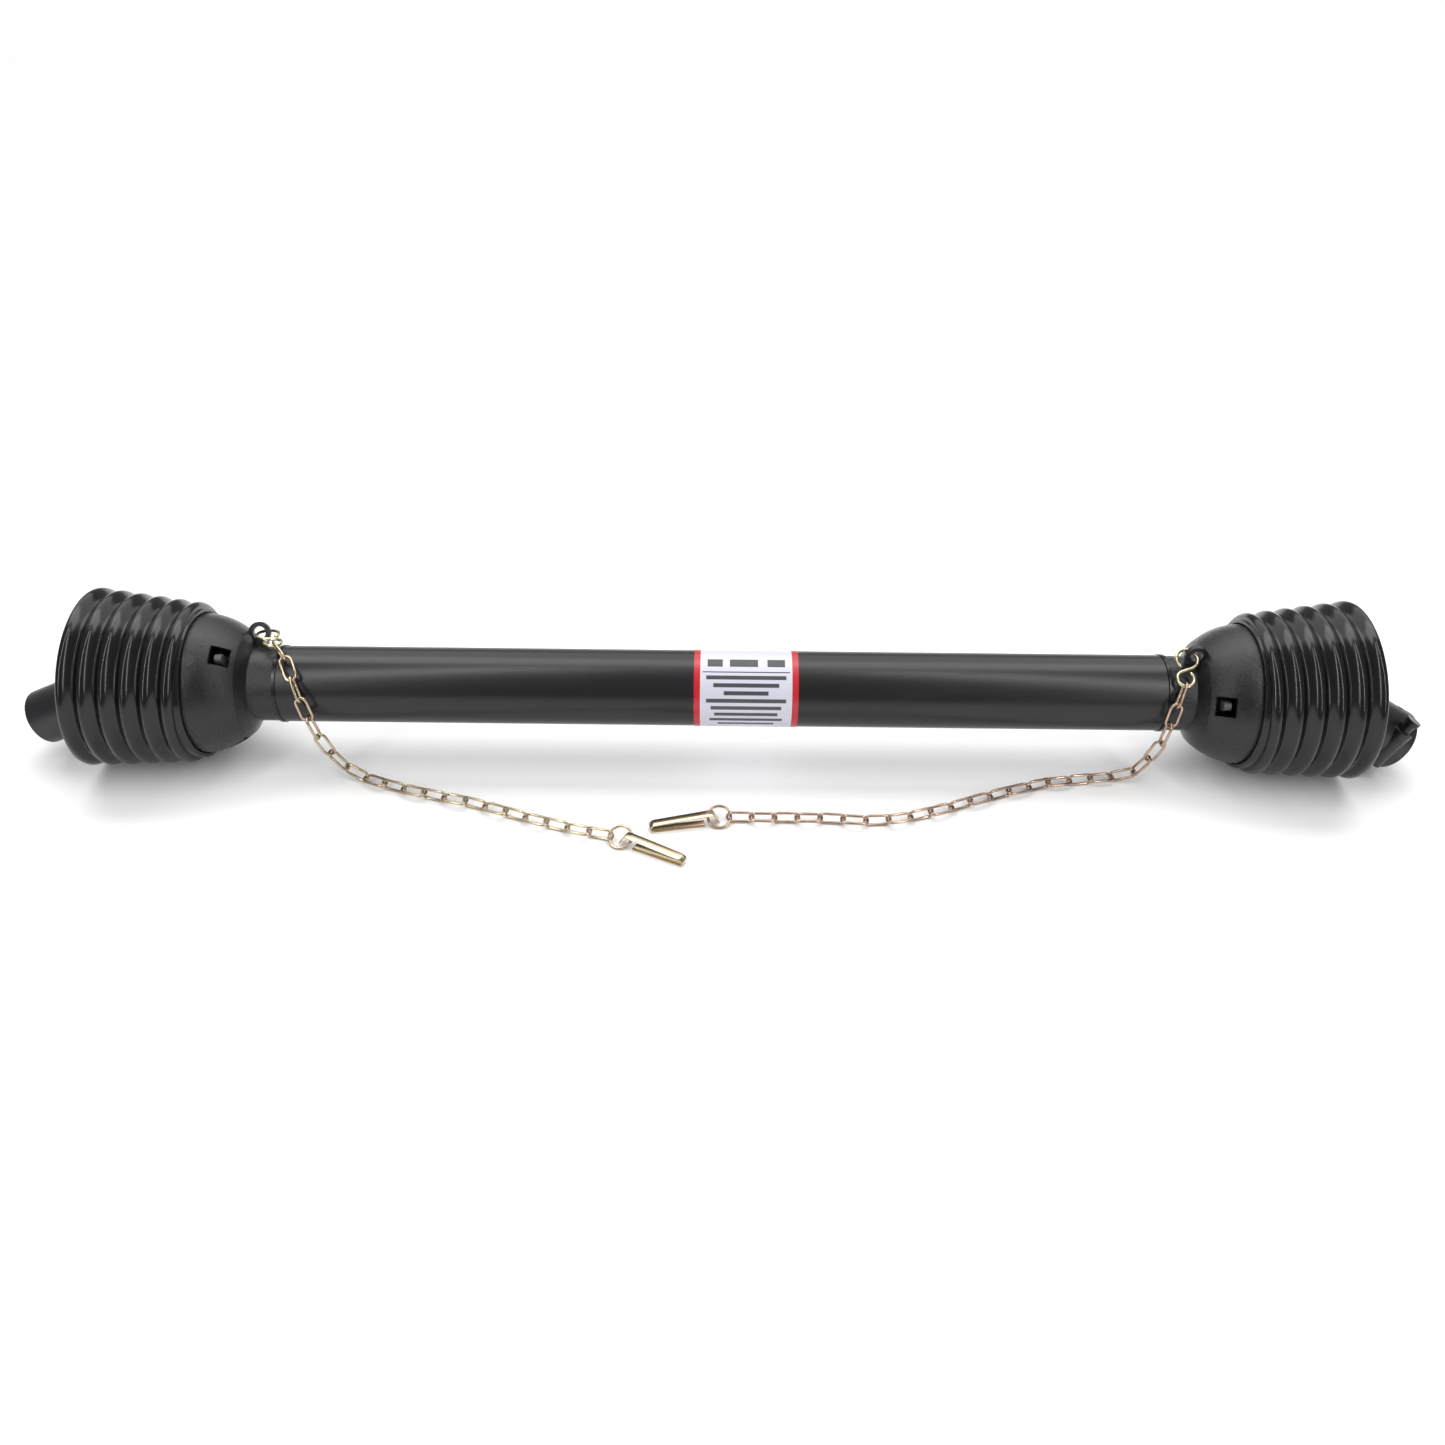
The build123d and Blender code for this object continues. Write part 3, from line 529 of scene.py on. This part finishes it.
def make_hook(end, side_sign, clock, drop, swing, steps=24):
    """S-hook: one loop through the cone's eye, the other through the first link.

    clock is the eye's angle behind the vertical, drop the hanging plane's tilt from the front,
    and swing the hook's turn down from the tube's direction, all in degrees.
    """
    angle = math.radians(clock)
    radial = Vector((0, math.sin(angle), math.cos(angle)))
    inward = Vector((-side_sign, 0, 0))
    down = Vector((0, -math.cos(math.radians(drop)), -math.sin(math.radians(drop))))
    into = math.radians(hook_in_eye)
    turn = math.radians(swing)
    eye = Vector((side_sign * eye_x * MM, shaft_y, shaft_z)) + radial * eye_reach * MM
    centre = eye + (inward * math.cos(into) + down * math.sin(into)) * hook_eye_r * MM
    along = inward * math.cos(turn) + down * math.sin(turn)
    normal = inward.cross(down)
    aside = normal.cross(along)
    start = math.acos((hook_eye_r + hook_chain_r) / hook_length)
    span = math.radians(hook_span)
    flat = []
    for step in range(steps + 1):
        bend = start + span * (1 - step / steps)
        flat.append((hook_eye_r * math.cos(bend), hook_eye_r * math.sin(bend)))
    for step in range(steps + 1):
        bend = start + math.pi + span * step / steps
        flat.append((hook_length + hook_chain_r * math.cos(bend), hook_chain_r * math.sin(bend)))
    points = [centre + (along * x + aside * y) * MM for x, y in flat]
    piece = join_meshes(f"{end}_wire_hook", [wire(points, hook_wire_r * MM)])
    stand_for(piece, f"{end}_s_hook")
    piece.data.materials[0] = hook_zinc


make_hook("implement", side_sign=-1, clock=30.0, drop=-8.0, swing=60.0)
make_hook("tractor", side_sign=1, clock=-8.0, drop=32.0, swing=80.0)

for end in ("implement", "tractor"):
    make_clip(end)
    for stretch in ("drape", "run", "tail"):
        make_links(f"{end}_chain_{stretch}", f"{end}_links_{stretch}")
    make_ring(f"{end}_chain_ring", f"{end}_round_ring")


# Label: pale field, red end bands, a rule, plain blocks and plain bars
def label_patch(ends, clocks, radii, steps_per_degree=0.5):
    """Curved patch of film round the tube, between two places along it and two angles round it."""
    steps = max(2, int((clocks[1] - clocks[0]) * steps_per_degree))
    points = []
    for step in range(steps + 1):
        angle = math.radians(clocks[0] + (clocks[1] - clocks[0]) * step / steps)
        out = Vector((0, math.sin(angle), math.cos(angle)))
        for x in ends:
            for r in radii:
                points.append(Vector((x * MM, shaft_y, shaft_z)) + out * r * MM)
    faces = []
    for step in range(steps):
        a = step * 4
        b = a + 4
        faces += [[a, a + 2, b + 2, b], [a + 1, b + 1, b + 3, a + 3]]
        faces += [[a, b, b + 1, a + 1], [a + 2, a + 3, b + 3, b + 2]]
    last = steps * 4
    faces += [[0, 1, 3, 2], [last, last + 2, last + 3, last + 1]]
    return points, faces


def printed(ends, clock, half_height):
    """Patch of ink just proud of the field, centred on an angle."""
    radii = (label_r + label_print_depth, label_r + label_thickness + label_print_rise)
    return label_patch(ends, (clock - half_height, clock + half_height), radii)


def make_label_piece(name, patches, paint):
    """Piece of the label, which rides on the outer guard tube."""
    piece = join_meshes(name, patches)
    piece.data.set_sharp_from_angle(angle=label_crease)
    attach(piece, "outer_guard")
    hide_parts("guard_label")
    piece.data.materials.append(paint)


left, right = label_ends
middle = (left + right) / 2
label_middle_clock = sum(label_clocks) / 2
label_half_clock = label_clocks[1] - label_middle_clock
rule_clock = -31.0
rule_gap = 2.0
block_clock = -15.0
block_ends = ((-33, -20), (-14, 10), (18, 33))
first_bar_below_rule = 8.5
bar_pitch = 11.5
bar_half_lengths = (34, 28, 19, 34, 30, 27, 31, 24)

field_r = (label_r - label_thickness, label_r + label_thickness)
make_label_piece("label_field", [label_patch(label_ends, label_clocks, field_r)], label_white)
red_bands = [
    printed((left, left + label_band), label_middle_clock, label_half_clock),
    printed((right - label_band, right), label_middle_clock, label_half_clock),
]
make_label_piece("label_bands", red_bands, label_red)
rule_ends = (left + label_band + rule_gap, right - label_band - rule_gap)
ink = [printed(rule_ends, rule_clock, 0.8)]
for start, end in block_ends:
    ink.append(printed((middle + start, middle + end), block_clock, 7.0))
make_label_piece("label_rule", ink, label_ink)
bars = []
for row, half in enumerate(bar_half_lengths):
    clock = rule_clock - first_bar_below_rule - bar_pitch * row
    bars.append(printed((middle - half, middle + half), clock, 3.0))
make_label_piece("label_bars", bars, label_grey)


# Stage, light and camera, in metres
floor_half = 30
floor_corners = [(x * floor_half, y * floor_half, 0) for x, y in ((-1, -1), (1, -1), (1, 1), (-1, 1))]
floor_mesh = bpy.data.meshes.new("floor")
floor_mesh.from_pydata(floor_corners, [], [(0, 1, 2, 3)])
floor = bpy.data.objects.new("floor", floor_mesh)
bpy.context.scene.collection.objects.link(floor)
floor_paint = bpy.data.materials.new("floor_paint")
floor_paint.use_nodes = True
floor_shader = floor_paint.node_tree.nodes["Principled BSDF"]
floor_shader.inputs["Base Color"].default_value = (0.92, 0.92, 0.92, 1)
floor_shader.inputs["Roughness"].default_value = 0.9
floor.data.materials.append(floor_paint)

world = bpy.data.worlds.new("studio")
bpy.context.scene.world = world
world.use_nodes = True
sky = world.node_tree.nodes["Background"]
sky.inputs["Color"].default_value = (1, 1, 1, 1)
sky.inputs["Strength"].default_value = 0.28


def softbox(name, place, size, power, target=(0, 0, 0.05)):
    """Rectangular light at a place, turned to a target."""
    light = bpy.data.lights.new(name, "AREA")
    light.shape = "RECTANGLE"
    light.size = size[0]
    light.size_y = size[1]
    light.energy = power
    lamp = bpy.data.objects.new(name, light)
    lamp.location = place
    lamp.rotation_mode = "QUATERNION"
    lamp.rotation_quaternion = (Vector(target) - Vector(place)).to_track_quat("-Z", "Y")
    bpy.context.scene.collection.objects.link(lamp)


softbox("top_box", (0.0, 1.1, 2.5), (4.4, 1.2), 64)
softbox("back_box", (0.0, 5.5, 3.5), (14.0, 6.0), 360, (0, 5.5, 0))
for side in (-1, 1):
    softbox(f"strip_{side}", (side * 1.0, -1.0, 1.5), (0.12, 3.4), 24, (side * 0.5, 0, 0.07))
bpy.context.scene.view_settings.view_transform = "Standard"

camera_distance = 1122.0 * MM
elevation = math.radians(35.0)
roll = math.radians(0.62)
focal_px = 1286.6
frame_px = 1445.0
axis_px = (722.0, 688.0)
camera = bpy.data.cameras.new("camera")
camera.sensor_width = 36
camera.lens = 36 * focal_px / frame_px
camera.shift_x = (frame_px / 2 - axis_px[0]) / frame_px
camera.shift_y = (axis_px[1] - frame_px / 2) / frame_px
viewer = bpy.data.objects.new("viewer", camera)
bpy.context.scene.collection.objects.link(viewer)
back = Vector((0, -math.cos(elevation), math.sin(elevation)))
level = Vector((1, 0, 0))
upright = back.cross(level)
across = level * math.cos(roll) + upright * math.sin(roll)
above = upright * math.cos(roll) - level * math.sin(roll)
turn = Matrix((across, above, back)).transposed()
viewer.rotation_mode = "QUATERNION"
viewer.rotation_quaternion = turn.to_quaternion()
viewer.location = Vector((0, shaft_y, shaft_z)) + back * camera_distance
bpy.context.scene.camera = viewer
